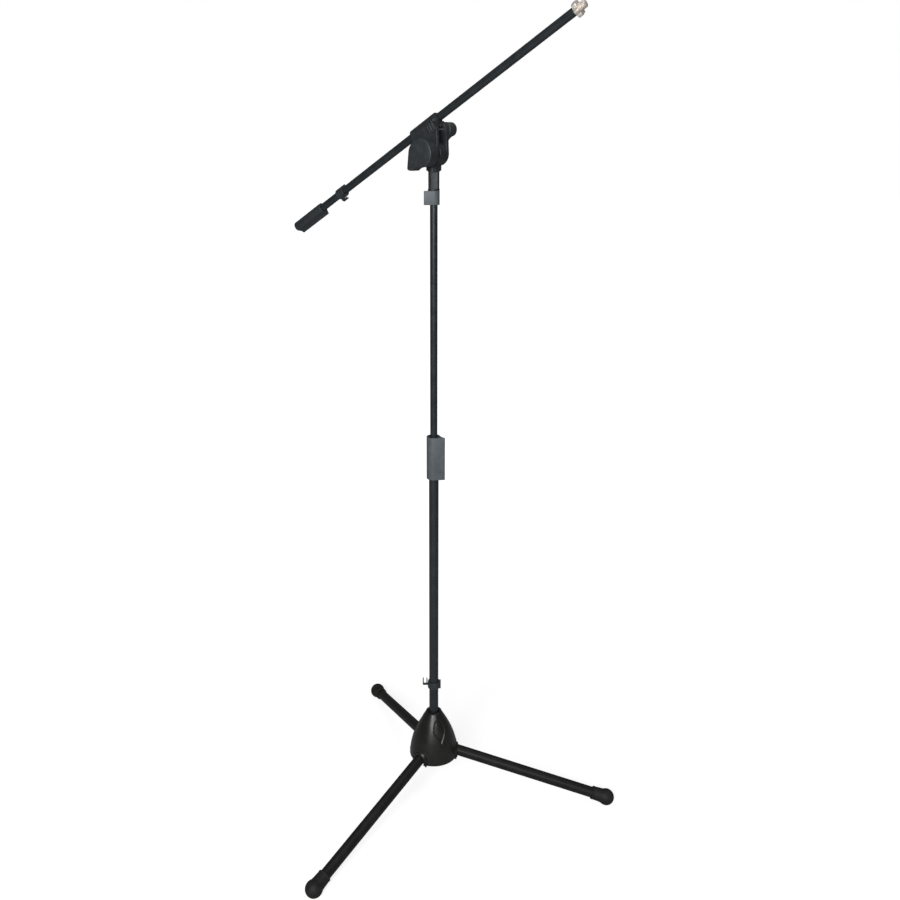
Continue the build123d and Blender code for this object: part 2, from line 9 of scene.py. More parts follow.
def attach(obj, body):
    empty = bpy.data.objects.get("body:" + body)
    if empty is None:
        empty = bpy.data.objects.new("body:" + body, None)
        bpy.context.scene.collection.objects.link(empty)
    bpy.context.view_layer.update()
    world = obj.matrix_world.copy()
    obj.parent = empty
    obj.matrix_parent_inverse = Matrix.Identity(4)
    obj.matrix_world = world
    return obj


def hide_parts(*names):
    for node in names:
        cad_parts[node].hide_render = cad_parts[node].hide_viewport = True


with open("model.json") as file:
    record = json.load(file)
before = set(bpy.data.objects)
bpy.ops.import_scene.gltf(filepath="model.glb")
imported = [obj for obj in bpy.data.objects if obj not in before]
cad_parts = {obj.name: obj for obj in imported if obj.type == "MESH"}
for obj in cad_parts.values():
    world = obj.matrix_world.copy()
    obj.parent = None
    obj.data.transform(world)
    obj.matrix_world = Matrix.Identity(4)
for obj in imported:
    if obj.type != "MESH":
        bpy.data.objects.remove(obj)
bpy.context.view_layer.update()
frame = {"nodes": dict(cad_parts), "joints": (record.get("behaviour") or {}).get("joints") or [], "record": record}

# Boom microphone stand. Pieces are drawn in millimetres and placed in the frame in metres.
MM = 0.001
JOINTS = {joint["name"]: joint for joint in frame["joints"]}

# ---- places: the pivots come from the frame, the angles and reaches are the stand's own ----
PIVOT = Vector(JOINTS["boom_tilt"]["pos_m"])
BOOM_ZERO = Vector(JOINTS["boom_roll"]["pos_m"])
BOOM_ELEVATION = 30.0
HINGE_R = 38.0
HINGE_Z = JOINTS["leg_front_fold"]["pos_m"][2] / MM
LEG_AZIMUTHS = {"front": -90.0, "right": 30.0, "rear": 150.0}
LEG_DIP = 15.376
LEG_RUN = 435.6

# ---- tubes and threads ----
COLUMN_R = 11.75
BOOM_R = 8.75
LEG_R = 13.75
THREAD_R = 7.94
THREAD_PITCH = 25.4 / 27
MAST_STUD_LOW, MAST_STUD_HIGH = 1539.1, 1588.0
BOOM_TIP = 419.0
BOOM_STUD_END = 444.0

# ---- base shell: hoods over the legs, shield panels between them ----
SHELL_RIM_Z = 117.0
SHELL_RIM_R = 63.4
SHELL_SHOULDER_R = 20.0
SHELL_SHOULDER_Z = 241.0
SHELL_WALL = 4.0
ARCH_R = 15.2
HOOD_PROUD = 3.6
RIDGE_PROUD = 0.9
RIDGE_GAP = 9.0
SHIELD_FOOT_Z = 172
SHIELD_WIDEST_Z = 200
SHIELD_CROWN = 30
SHIELD_HALF = 17.0
SHIELD_SUNK = 2.0
SCREW_AZIMUTH = -51.7
SCREW_R = 62.6
SCREW_Z = 128.0

# ---- rubber boots ----
BOOT_SLEEVE = 39
BALL_R = 21.0
FLOOR_GAP = 0.00002

# ---- clutch grip and lock nut ----
CLUTCH_FOOT, CLUTCH_TOP = 894.5, 1001.0
CLUTCH_R = 17.3
CLUTCH_REACH = 24.5
CLUTCH_BORE_R = 14.25
CLUTCH_MOUTH_R = 14.6
CLUTCH_AZIMUTH = 46.0
NUT_FOOT, NUT_TOP = 1539.3, 1569.7
NUT_R = 13.0
NUT_REACH = 22.0
NUT_AZIMUTH = 37.0
INSERT_R = 10.14

# ---- head ----
PIVOT_Z = 1648.0
POST_FOOT = 1570.0
POST_R = 13.25
POST_FLAT_DEPTH = 11.1
POST_FLAT_HALF = 6.25
TONGUE_R = 27.0
TONGUE_HALF = 11.4
EAR_R = 26.0
EAR_IN = 12.5
EAR_OUT = 21.0
EAR_ROOM_R = 28.4
BOLT_R = 4.0
BARREL_LOW = -29.0
BARREL_HIGH = 46.0
BARREL_R = 13.5
LINER_R = 10.8
BOOM_OFFSET = 58.0
CLAMP_SPLIT = 0.75
CLAMP_SCREW = Vector((36.0, 0.0, 37.0))
CLAMP_SCREW_R = 3.0
CLAMP_SCREW_BLIND = -18.0
RIB_STEP = 7.0
CAST_GRAIN = 0.6

# ---- knobs ----
KNOB_SEAT = 22.5
TILT_KNOB = {"radius": 31.0, "reach": 38.0, "tip": 13.0, "corner": 5.0}
TILT_KNOB_DEPTH = 29.0
TILT_KNOB_LEAN = -6.0
CLAMP_KNOB = {"radius": 15.5, "reach": 24.0, "tip": 8.0, "corner": 2.0}
CLAMP_KNOB_DEPTH = 24.5

# ---- boom end pieces ----
GRIP_LOW, GRIP_HIGH = -460.0, -358.0
GRIP_CAP = -452
STAR_NUT_END = BOOM_TIP + 11.0
STAR_LOBES = 6
STAR_ROOT_R = 12.6
STAR_LOBE = 3.4

# ---- cable clips: ring, latch bar and open hook ----
CLIP_WALL = 3.8
LATCH_HALF = 3.5
HOOK_HALF = 3.25
HOOK_WALL = 2.6
HOOK_SPAN = 12.2
SLIT_HALF = 0.8
COLUMN_CLIP_Z = 322.5
BOOM_CLIP_S = -283

# ---- stage ----
FLOOR_WHITE = 0.45
FLOOR_LIFT_NEAR, FLOOR_LIFT_FAR = 0.78, 1.0
FLOOR_LIFT_FROM, FLOOR_LIFT_TO = 0.5, 2.0
AMBIENT = 0.13


def turned(degrees, axis):
    return Matrix.Rotation(radians(degrees), 4, axis)


def moved(x, y, z):
    return Matrix.Translation(Vector((x, y, z)))


def leg_place(azimuth):
    """A leg's own axes: +X down the leg from its hinge, +Z above it. In millimetres."""
    return turned(azimuth, "Z") @ moved(HINGE_R, 0, HINGE_Z) @ turned(LEG_DIP, "Y")


STANDING = Matrix.Identity(4)
BOOM = moved(*(BOOM_ZERO / MM)) @ turned(90 - BOOM_ELEVATION, "Y")
HEAD = moved(*(PIVOT / MM)) @ turned(-BOOM_ELEVATION, "Y")


# ---------------- modelling helpers ----------------
def clear_selection():
    if bpy.context.object and bpy.context.object.mode != "OBJECT":
        bpy.ops.object.mode_set(mode="OBJECT")
    bpy.ops.object.select_all(action="DESELECT")


def only(piece):
    clear_selection()
    bpy.context.view_layer.objects.active = piece
    piece.select_set(True)


def carry(piece, matrix):
    """Moves a piece's mesh by a matrix and leaves its object at the origin."""
    only(piece)
    piece.matrix_world = matrix
    bpy.ops.object.transform_apply(location=True, rotation=True, scale=True)


def face_out():
    """Turns the faces of the mesh in edit mode outwards and leaves edit mode."""
    bpy.ops.mesh.select_all(action="SELECT")
    bpy.ops.mesh.normals_make_consistent(inside=False)
    bpy.ops.object.mode_set(mode="OBJECT")


def place(piece, matrix):
    """Scales a piece drawn in millimetres to metres at its place."""
    carry(piece, Matrix.Scale(MM, 4) @ matrix)
    bpy.ops.object.mode_set(mode="EDIT")
    bpy.ops.mesh.select_all(action="SELECT")
    bpy.ops.mesh.remove_doubles(threshold=0.00001)
    face_out()


def apply_modifiers(piece):
    only(piece)
    for modifier in list(piece.modifiers):
        bpy.ops.object.modifier_apply(modifier=modifier.name)


def ease(piece, width, segments=3):
    """Rounds every sharp edge. The width is in millimetres."""
    bevel = piece.modifiers.new("ease", "BEVEL")
    bevel.width = width
    bevel.segments = segments
    bevel.limit_method = "ANGLE"
    bevel.angle_limit = radians(32.0)
    bevel.miter_outer = "MITER_ARC"
    bevel.use_clamp_overlap = True
    apply_modifiers(piece)


def smooth(piece, angle=40.0):
    only(piece)
    bpy.ops.object.shade_smooth_by_angle(angle=radians(angle))


def lathe(name, outline, sides=96, closed=False):
    """Turned piece about Z: one circle drawn up ring by ring through (radius, height) pairs."""
    clear_selection()
    radius, height = outline[0]
    bpy.ops.mesh.primitive_circle_add(vertices=sides, radius=radius, location=(0, 0, height))
    piece = bpy.context.object
    piece.name = name
    bpy.ops.object.transform_apply(location=True, rotation=False, scale=False)
    bpy.ops.object.mode_set(mode="EDIT")
    bpy.ops.mesh.select_all(action="SELECT")
    rings = list(outline[1:])
    if closed:
        rings.append(outline[0])
    else:
        bpy.ops.mesh.edge_face_add()
        bpy.ops.mesh.select_all(action="SELECT")
    for next_radius, next_height in rings:
        step = (0, 0, next_height - height)
        bpy.ops.mesh.extrude_region_move(TRANSFORM_OT_translate={"value": step})
        grow = next_radius / radius
        bpy.ops.transform.resize(value=(grow, grow, 1), center_override=(0, 0, next_height))
        radius, height = next_radius, next_height
    bpy.ops.mesh.select_all(action="SELECT")
    bpy.ops.mesh.remove_doubles(threshold=0.001)
    face_out()
    return piece


def slab(name, outline, low, high):
    """Flat-ended piece along Z: a ring laid along the outline, faced and drawn up."""
    clear_selection()
    bpy.ops.mesh.primitive_circle_add(vertices=len(outline), radius=1, location=(0, 0, 0))
    piece = bpy.context.object
    piece.name = name
    for vertex, (x, y) in zip(piece.data.vertices, outline):
        vertex.co = (x, y, low)
    bpy.ops.object.mode_set(mode="EDIT")
    bpy.ops.mesh.select_all(action="SELECT")
    bpy.ops.mesh.edge_face_add()
    bpy.ops.mesh.extrude_region_move(TRANSFORM_OT_translate={"value": (0, 0, high - low)})
    face_out()
    return piece


def bar(name, radius, low, high, axis="Z", centre=(0, 0, 0), sides=64):
    """Round bar along an axis, for joining to or cutting from a piece."""
    clear_selection()
    turn = {"X": (0, pi / 2, 0), "Y": (-pi / 2, 0, 0), "Z": (0, 0, 0)}[axis]
    along = {"X": Vector((1, 0, 0)), "Y": Vector((0, 1, 0)), "Z": Vector((0, 0, 1))}[axis]
    spot = Vector(centre) + along * (low + high) / 2
    bpy.ops.mesh.primitive_cylinder_add(
        vertices=sides, radius=radius, depth=high - low, location=spot, rotation=turn
    )
    piece = bpy.context.object
    piece.name = name
    bpy.ops.object.transform_apply(location=True, rotation=True, scale=True)
    return piece


def block(name, low, high):
    """Box between two corners."""
    clear_selection()
    low, high = Vector(low), Vector(high)
    bpy.ops.mesh.primitive_cube_add(size=1, location=(low + high) / 2)
    piece = bpy.context.object
    piece.name = name
    piece.scale = high - low
    bpy.ops.object.transform_apply(location=True, rotation=True, scale=True)
    return piece


def combine(piece, tools, how):
    """UNION joins tools to a piece, DIFFERENCE cuts them out, INTERSECT keeps what they share."""
    for tool in tools:
        boolean = piece.modifiers.new("combine", "BOOLEAN")
        boolean.operation = how
        boolean.solver = "EXACT"
        boolean.object = tool
        apply_modifiers(piece)
        bpy.data.objects.remove(tool)


def join(piece, others):
    """Makes one object of several without cutting their meshes."""
    only(piece)
    for other in others:
        other.select_set(True)
    bpy.ops.object.join()


def cast(piece, passes=3):
    """Gives a built-up piece the soft inside and outside corners of a casting."""
    remesh = piece.modifiers.new("cast", "REMESH")
    remesh.mode = "VOXEL"
    remesh.voxel_size = CAST_GRAIN
    soften = piece.modifiers.new("soften", "SMOOTH")
    soften.factor = 0.5
    soften.iterations = passes
    apply_modifiers(piece)


def arc(radius, start, end, steps, centre=(0.0, 0.0)):
    """Points round an arc, angles in degrees."""
    angles = [radians(start + (end - start) * i / steps) for i in range(steps + 1)]
    return [(centre[0] + radius * cos(a), centre[1] + radius * sin(a)) for a in angles]


def comma(radius, reach, tip, corner=0.0):
    """Outline of a round body whose -Y side runs on straight along +X and curls back as a wing."""
    back = arc(radius, 35, 270, 56)
    root = Vector((*back[0], 0))
    end = Vector((reach, tip - radius, 0))
    pull = (root - end).length * 0.38
    lead_in = end + Vector((-0.75, 0.55, 0)).normalized() * pull
    lead_out = root + Vector((0.25, -1.0, 0)).normalized() * pull
    curl = interpolate_bezier(end, lead_in, lead_out, root, 14)
    wing_tip = [(reach, -radius)]
    if corner:
        wing_tip = arc(corner, -90, 0, 8, (reach - corner, corner - radius))
    return back + wing_tip + [(p.x, p.y) for p in curl[:-1]]


def thread(name, low, high, matrix):
    """Threaded stud about Z: one V of the profile wound up the screw, its ends closed, round a core."""
    clear_selection()
    root = THREAD_R - 0.6 * THREAD_PITCH
    bpy.ops.mesh.primitive_circle_add(vertices=4, radius=1)
    piece = bpy.context.object
    piece.name = name
    crest = [(THREAD_R, 0.42 * THREAD_PITCH), (THREAD_R, 0.58 * THREAD_PITCH)]
    profile = [(root, 0), *crest, (root, THREAD_PITCH)]
    for vertex, (radius, height) in zip(piece.data.vertices, profile):
        vertex.co = (radius, 0, height + low)
    bpy.ops.object.mode_set(mode="EDIT")
    bpy.ops.mesh.select_mode(type="EDGE")
    bpy.ops.mesh.select_all(action="DESELECT")
    bpy.ops.object.mode_set(mode="OBJECT")
    for edge in piece.data.edges:
        edge.select = {0, 3} == set(edge.vertices)
    bpy.ops.object.mode_set(mode="EDIT")
    bpy.ops.mesh.delete(type="EDGE")
    bpy.ops.mesh.select_mode(type="VERT")
    bpy.ops.object.mode_set(mode="OBJECT")
    screw = piece.modifiers.new("wind", "SCREW")
    screw.axis = "Z"
    screw.angle = 2 * pi
    screw.screw_offset = THREAD_PITCH
    screw.iterations = int((high - low) / THREAD_PITCH) - 1
    screw.steps = 40
    screw.render_steps = 40
    screw.use_merge_vertices = True
    screw.merge_threshold = 0.01
    apply_modifiers(piece)
    bpy.ops.object.mode_set(mode="EDIT")
    bpy.ops.mesh.select_mode(type="EDGE")
    bpy.ops.mesh.select_all(action="DESELECT")
    bpy.ops.mesh.select_non_manifold()
    bpy.ops.mesh.extrude_region_move()
    bpy.ops.mesh.merge(type="COLLAPSE")
    bpy.ops.mesh.select_mode(type="VERT")
    bpy.ops.object.mode_set(mode="OBJECT")
    core = [(root - 0.05, low), (root - 0.05, high - 1.0), (THREAD_R - 2.4, high)]
    join(piece, [lathe(name + "_core", core, 64)])
    place(piece, matrix)
    smooth(piece, 30)
    return piece


def finish(piece, body, material, nodes=()):
    """Hands a finished piece to its body and its material, in place of the CAD nodes named."""
    piece.data.materials.clear()
    piece.data.materials.append(MATERIALS[material])
    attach(piece, body)
    if nodes:
        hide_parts(*nodes)


# ---------------- materials ----------------
def noise(group, coordinates, scale_socket, detail, rough):
    node = group.nodes.new("ShaderNodeTexNoise")
    node.inputs["Detail"].default_value = detail
    node.inputs["Roughness"].default_value = rough
    group.links.new(coordinates, node.inputs["Vector"])
    group.links.new(scale_socket, node.inputs["Scale"])
    return node.outputs["Fac"]


def surface_group():
    """Node group of fine grain, broad handling marks and their height, in the piece's coordinates."""
    group = bpy.data.node_groups.new("surface_grain", "ShaderNodeTree")
    for label, value in (("Grain scale", 1500.0), ("Mark scale", 40.0)):
        socket = group.interface.new_socket(label, in_out="INPUT", socket_type="NodeSocketFloat")
        socket.default_value = value
    for label in ("Mask", "Fine", "Height"):
        group.interface.new_socket(label, in_out="OUTPUT", socket_type="NodeSocketFloat")
    enter = group.nodes.new("NodeGroupInput")
    leave = group.nodes.new("NodeGroupOutput")
    coordinates = group.nodes.new("ShaderNodeTexCoord").outputs["Object"]
    grain = noise(group, coordinates, enter.outputs["Grain scale"], 3.0, 0.55)
    marks = noise(group, coordinates, enter.outputs["Mark scale"], 6.0, 0.68)
    ramp = group.nodes.new("ShaderNodeValToRGB")
    ramp.color_ramp.elements[0].position = 0.42
    ramp.color_ramp.elements[1].position = 0.66
    group.links.new(marks, ramp.inputs["Fac"])
    blend = group.nodes.new("ShaderNodeMath")
    blend.operation = "MULTIPLY_ADD"
    blend.inputs[1].default_value = 0.35
    group.links.new(marks, blend.inputs[0])
    group.links.new(grain, blend.inputs[2])
    group.links.new(ramp.outputs["Color"], leave.inputs["Mask"])
    group.links.new(grain, leave.inputs["Fine"])
    group.links.new(blend.outputs["Value"], leave.inputs["Height"])
    return group


SURFACE = surface_group()


def finish_material(name, colour, worn, rough, grain, marks, bump, metallic=0.0, specular=0.5):
    """A principled finish whose colour, roughness and bump follow the surface group."""
    material = bpy.data.materials.new(name)
    material.use_nodes = True
    tree = material.node_tree
    shader = tree.nodes["Principled BSDF"]
    shader.inputs["Metallic"].default_value = metallic
    shader.inputs["Specular IOR Level"].default_value = specular
    surface = tree.nodes.new("ShaderNodeGroup")
    surface.node_tree = SURFACE
    surface.inputs["Grain scale"].default_value = grain
    surface.inputs["Mark scale"].default_value = marks
    tint = tree.nodes.new("ShaderNodeMix")
    tint.data_type = "RGBA"
    tint.inputs["A"].default_value = (*colour, 1.0)
    tint.inputs["B"].default_value = (*worn, 1.0)
    tree.links.new(surface.outputs["Mask"], tint.inputs["Factor"])
    speck = tree.nodes.new("ShaderNodeMix")
    speck.data_type = "RGBA"
    speck.blend_type = "OVERLAY"
    speck.inputs["Factor"].default_value = 0.30
    tree.links.new(tint.outputs["Result"], speck.inputs["A"])
    tree.links.new(surface.outputs["Fine"], speck.inputs["B"])
    tree.links.new(speck.outputs["Result"], shader.inputs["Base Color"])
    spread = tree.nodes.new("ShaderNodeMapRange")
    spread.inputs["To Min"].default_value = rough[0]
    spread.inputs["To Max"].default_value = rough[1]
    tree.links.new(surface.outputs["Mask"], spread.inputs["Value"])
    tree.links.new(spread.outputs["Result"], shader.inputs["Roughness"])
    raise_node = tree.nodes.new("ShaderNodeBump")
    raise_node.inputs["Strength"].default_value = bump
    raise_node.inputs["Distance"].default_value = 0.0002
    tree.links.new(surface.outputs["Height"], raise_node.inputs["Height"])
    tree.links.new(raise_node.outputs["Normal"], shader.inputs["Normal"])
    return material


LOOKS = {
    "powder_coat": {
        "colour": (0.013, 0.017, 0.020), "worn": (0.019, 0.024, 0.027),
        "rough": (0.30, 0.38), "grain": 2200.0, "marks": 45.0, "bump": 0.15, "specular": 0.45,
    },
    "leg_coat": {
        "colour": (0.008, 0.008, 0.008), "worn": (0.014, 0.014, 0.013),
        "rough": (0.42, 0.56), "grain": 2000.0, "marks": 38.0, "bump": 0.3, "specular": 0.25,
    },
    "moulded_gloss": {
        "colour": (0.008, 0.0075, 0.007), "worn": (0.012, 0.011, 0.010),
        "rough": (0.30, 0.38), "grain": 900.0, "marks": 30.0, "bump": 0.0,
    },
    "slate_plastic": {
        "colour": (0.075, 0.088, 0.100), "worn": (0.095, 0.108, 0.120),
        "rough": (0.48, 0.62), "grain": 1400.0, "marks": 60.0, "bump": 0.5,
    },
    "dark_plastic": {
        "colour": (0.021, 0.025, 0.028), "worn": (0.030, 0.035, 0.039),
        "rough": (0.42, 0.55), "grain": 1500.0, "marks": 60.0, "bump": 0.45,
    },
    "cast_coat": {
        "colour": (0.016, 0.019, 0.021), "worn": (0.024, 0.028, 0.031),
        "rough": (0.40, 0.55), "grain": 1100.0, "marks": 50.0, "bump": 0.5,
    },
    "foot_rubber": {
        "colour": (0.008, 0.008, 0.008), "worn": (0.016, 0.016, 0.015),
        "rough": (0.60, 0.80), "grain": 700.0, "marks": 45.0, "bump": 0.5, "specular": 0.35,
    },
    "nickel": {
        "colour": (0.86, 0.80, 0.74), "worn": (0.74, 0.68, 0.62),
        "rough": (0.40, 0.52), "grain": 1800.0, "marks": 120.0, "bump": 0.0, "metallic": 0.75,
    },
    "zinc_steel": {
        "colour": (0.48, 0.48, 0.47), "worn": (0.36, 0.36, 0.35),
        "rough": (0.28, 0.42), "grain": 1600.0, "marks": 110.0, "bump": 0.2, "metallic": 1.0,
    },
    "brass": {
        "colour": (0.60, 0.42, 0.16), "worn": (0.45, 0.30, 0.11),
        "rough": (0.26, 0.40), "grain": 1600.0, "marks": 110.0, "bump": 0.2, "metallic": 1.0,
    },
    "bush_plastic": {
        "colour": (0.60, 0.59, 0.55), "worn": (0.50, 0.49, 0.45),
        "rough": (0.45, 0.6), "grain": 1200.0, "marks": 60.0, "bump": 0.3,
    },
    "weight_iron": {
        "colour": (0.10, 0.10, 0.10), "worn": (0.16, 0.13, 0.11),
        "rough": (0.55, 0.75), "grain": 800.0, "marks": 50.0, "bump": 0.6, "metallic": 0.6,
    },
}
MATERIALS = {name: finish_material(name, **look) for name, look in LOOKS.items()}

# Slots whose finish goes by another name. Every other slot has the finish named after it.
SLOT_FINISH = {"powder_black": "powder_coat", "gloss_black": "moulded_gloss", "cast_zinc": "cast_coat"}


def dress_nodes():
    """Gives every CAD node the finish of its slot; the leg tubes and the boom liner have their own."""
    for part in frame["record"]["subparts"]:
        node = part["node"]
        slot = part["material_slot"]
        finish_name = SLOT_FINISH.get(slot, slot)
        if node.startswith("leg_tube"):
            finish_name = "leg_coat"
        if node == "boom_liner":
            finish_name = "dark_plastic"
        mesh = frame["nodes"][node].data
        mesh.materials.clear()
        mesh.materials.append(MATERIALS[finish_name])
        smooth(frame["nodes"][node], 35.0)


# ---------------- base ----------------
def rise(value, low, high):
    """0 below low, 1 above high, and an even curve between."""
    t = min(1.0, max(0.0, (value - low) / (high - low)))
    return t * t * (3 - 2 * t)


def shell_relief(x, y, z):
    """How far the shell stands out from its plain bell at a point, in millimetres."""
    out = 0.0
    for azimuth in LEG_AZIMUTHS.values():
        local = leg_place(azimuth).inverted() @ Vector((x, y, z))
        if local.x > 0:
            across = abs(local.y) if local.z < 0 else hypot(local.y, local.z)
            hood = 1 - rise(across, ARCH_R + 2.4, ARCH_R + 4.4)
            ridge = 1 - rise(abs(across - ARCH_R - RIDGE_GAP), 0.6, 2.2)
            out = max(out, HOOD_PROUD * hood, RIDGE_PROUD * ridge)
        facing = turned(-azimuth - 60, "Z") @ Vector((x, y, z))
        if facing.x > 0:
            if z > SHIELD_WIDEST_Z:
                up = (z - SHIELD_WIDEST_Z) / SHIELD_CROWN
                half = SHIELD_HALF * sqrt(max(0.0, 1 - up**2))
            else:
                up = (z - SHIELD_FOOT_Z) / (SHIELD_WIDEST_Z - SHIELD_FOOT_Z)
                half = SHIELD_HALF * max(0.0, up)
            out -= SHIELD_SUNK * rise(half - abs(facing.y), 0.0, 3.0)
    return out


def base_shell():
    """Bell-shaped cover: hoods over the legs, a shield panel between each two and a rolled crest."""
    rim = Vector((SHELL_RIM_R, 0, SHELL_RIM_Z))
    shoulder = Vector((SHELL_SHOULDER_R, 0, SHELL_SHOULDER_Z))
    flank = interpolate_bezier(rim, Vector((61.5, 0, 168.0)), Vector((41.5, 0, 205.0)), shoulder, 84)
    outer = [(SHELL_RIM_R - 2.4, SHELL_RIM_Z - 0.4), (SHELL_RIM_R - 0.7, SHELL_RIM_Z - 0.2)]
    outer += [(p.x, p.z) for p in flank]
    outer += arc(4.5, 38, 172, 8, centre=(17.0, 239.0)) + [(12.5, 236.5)]
    inner = [(12.6, 233.4), (15.4, 236.5)]
    inner += [(p.x - SHELL_WALL, p.z) for p in reversed(flank[::6]) if p.z < 235]
    shell = lathe("base_cover", outer + inner, sides=420, closed=True)
    bell = {round(p.z, 3): p.x for p in flank}
    for vertex in shell.data.vertices:
        radius = hypot(vertex.co.x, vertex.co.y)
        key = round(vertex.co.z, 3)
        if key in bell and abs(bell[key] - radius) < 0.01:
            out = shell_relief(*vertex.co)
            vertex.co.x *= (radius + out) / radius
            vertex.co.y *= (radius + out) / radius
    cutters = []
    for leg, azimuth in LEG_AZIMUTHS.items():
        tunnel = bar("tunnel_" + leg, ARCH_R, 2, 70, "X")
        below = block("tunnel_below_" + leg, (2, -ARCH_R, -60), (70, ARCH_R, 0))
        combine(tunnel, [below], "UNION")
        carry(tunnel, leg_place(azimuth))
        cutters.append(tunnel)
    combine(shell, cutters, "DIFFERENCE")
    place(shell, STANDING)
    smooth(shell, 42)
    finish(shell, "base", "moulded_gloss", ["base_shell"])


def rim_lugs():
    """Two small rounded pegs under the rim at every hood's feet, and a sunk screw beside the hood."""
    peg_outline = [(1.0, 112.6), (2.0, 113.0), (2.4, 114.0), (2.4, 121.0)]
    head_outline = [(4.2, -1.0), (4.2, 0.3), (3.8, 0.6), (3.2, 0.6), (2.9, -0.9), (0.3, -1.0)]
    for leg, azimuth in LEG_AZIMUTHS.items():
        pegs = []
        for side in (-1, 1):
            sideways = side * (ARCH_R + 4.6)
            out = sqrt(SHELL_RIM_R**2 - sideways**2) + 0.4
            peg = lathe("rim_lugs_" + leg, peg_outline, 24)
            carry(peg, turned(azimuth, "Z") @ moved(out, sideways, 0))
            pegs.append(peg)
        lugs = pegs[0]
        join(lugs, pegs[1:])
        place(lugs, STANDING)
        smooth(lugs)
        finish(lugs, "base", "moulded_gloss")
        screw = lathe("hood_screw_" + leg, head_outline, 32)
        place(screw, turned(azimuth + SCREW_AZIMUTH, "Z") @ moved(SCREW_R, 0, SCREW_Z) @ turned(86, "Y"))
        smooth(screw)
        finish(screw, "base", "moulded_gloss")


# ---------------- legs ----------------
def leg_boot(leg, azimuth):
    """Rubber boot: beaded mouth, sleeve that widens a little towards the ball, cut flat at the floor."""
    start = LEG_RUN - BOOT_SLEEVE
    steps = [(0.1, 3.0), (0.1, 0.6), (0.9, 0.0), (2.6, 0.4), (3.3, 1.4), (3.3, 4.0)]
    steps += [(2.6, 4.8), (2.8, 6.0), (3.5, 20.0)]
    outline = [(LEG_R + out, start + along) for out, along in steps]
    for step in range(27):
        angle = radians(121 - step * 4.65)
        outline.append((BALL_R * sin(angle), LEG_RUN + BALL_R * cos(angle)))
    outline.append((0.4, LEG_RUN + BALL_R))
    boot = lathe("leg_boot_" + leg, outline, 72)
    place(boot, leg_place(azimuth) @ turned(90, "Y"))
    only(boot)
    bpy.ops.object.mode_set(mode="EDIT")
    bpy.ops.mesh.select_all(action="SELECT")
    bpy.ops.mesh.bisect(plane_co=(0, 0, FLOOR_GAP), plane_no=(0, 0, 1), use_fill=True, clear_inner=True)
    face_out()
    smooth(boot, 50)
    finish(boot, "leg_" + leg, "foot_rubber", ["leg_foot_" + leg])


# ---------------- column, clutch and lock nut ----------------
def clutch_grip():
    """Comma-section hand grip with eased ends and a dished top round the mast."""
    grip = slab("clutch_hand_grip", comma(CLUTCH_R, CLUTCH_REACH, 2.4), CLUTCH_FOOT, CLUTCH_TOP)
    ease(grip, 1.1)
    combine(grip, [bar("mouth", CLUTCH_MOUTH_R, CLUTCH_TOP - 7, CLUTCH_TOP + 2)], "DIFFERENCE")
    combine(grip, [bar("bore", CLUTCH_BORE_R, CLUTCH_FOOT - 1.5, CLUTCH_TOP - 4)], "DIFFERENCE")
    place(grip, turned(CLUTCH_AZIMUTH, "Z"))
    smooth(grip)
    finish(grip, "clutch_grip", "slate_plastic", ["clutch_grip"])


def lock_nut():
    """Comma-shaped wing nut under the head."""
    outline = [(-x, y) for x, y in comma(NUT_R, NUT_REACH, 2.2)]
    nut = slab("lock_wing_nut", outline, NUT_FOOT, NUT_TOP)
    ease(nut, 0.9)
    combine(nut, [bar("bore", INSERT_R, NUT_FOOT - 1.3, NUT_TOP + 1.3)], "DIFFERENCE")
    place(nut, turned(NUT_AZIMUTH, "Z"))
    smooth(nut)
    finish(nut, "lock_nut", "slate_plastic", ["lock_nut"])


# ---------------- head ----------------
def swivel_post():
    """Round post with four flat panels that widens into the round tilt tongue."""
    outline = [(12.6, POST_FOOT), (POST_R, POST_FOOT + 0.7), (POST_R, 1619.0), (12.9, 1630.0)]
    post = lathe("tilt_post", outline)
    flats = []
    for corner in (45, 135, 225, 315):
        flat = block("flat", (POST_FLAT_DEPTH, -POST_FLAT_HALF, 1573.5), (20, POST_FLAT_HALF, 1610.0))
        carry(flat, turned(corner, "Z"))
        flats.append(flat)
    combine(post, flats, "DIFFERENCE")
    tongue = bar("tongue", TONGUE_R, -TONGUE_HALF, TONGUE_HALF, "Y", (0, 0, PIVOT_Z), 96)
    saddle = block("saddle", (-12.6, -TONGUE_HALF, 1612.0), (12.6, TONGUE_HALF, 1630.0))
    combine(post, [tongue, saddle], "UNION")
    cast(post)
    eye = bar("eye", BOLT_R + 0.05, -14, 14, "Y", (0, 0, PIVOT_Z))
    seat = bar("seat", INSERT_R, POST_FOOT - 2, POST_FOOT + 21)
    combine(post, [eye, seat], "DIFFERENCE")
    place(post, STANDING)
    smooth(post, 50)
    finish(post, "head_post", "cast_coat", ["swivel_post"])


